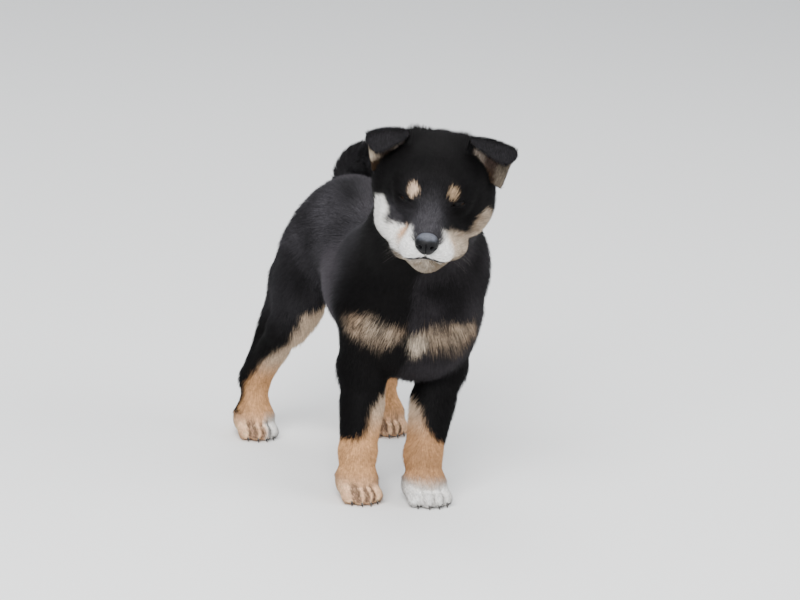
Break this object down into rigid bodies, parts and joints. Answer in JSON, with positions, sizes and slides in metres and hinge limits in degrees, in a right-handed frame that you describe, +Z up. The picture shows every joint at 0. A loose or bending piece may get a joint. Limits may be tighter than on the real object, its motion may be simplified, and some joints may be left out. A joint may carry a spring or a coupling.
{
  "type": "shiba inu puppy",
  "caption": "Life-size still model of a black and tan shiba inu puppy, standing with its head turned and tilted, its ears half folded and its tail curled over its back.",
  "frame": {"origin": "on the ground, under the centre of the bounding box", "axes": "+Z up; the puppy's body looks along -Y and its left side is +X; its head is turned to its right"},
  "size_m": [0.1418, 0.302, 0.2924],
  "materials": {
    "coat": "plush double coat, black on the back, head and outsides of the legs, warm tan to cream on cheeks, chest, inner legs and paws",
    "skin": "dark skin under the fur, grey-pink inside the ears",
    "eye": "very dark brown, wet and glossy",
    "nose": "black, finely pebbled and moist",
    "claw": "dark horn, smooth",
    "whisker": "fine dark hairs"
  },
  "bodies": {
    "root": {"head": "coat", "ear_right": "coat", "ear_left": "coat", "eye_right": "eye", "eye_left": "eye", "nose": "nose", "neck": "coat", "chest": "coat", "rump": "coat", "tail": "coat", "forearm_right": "coat", "forearm_left": "coat", "shank_right": "coat", "shank_left": "coat", "forepaw_right": "coat", "forepaw_left": "coat", "hindpaw_right": "coat", "hindpaw_left": "coat"}
  },
  "joints": []
}
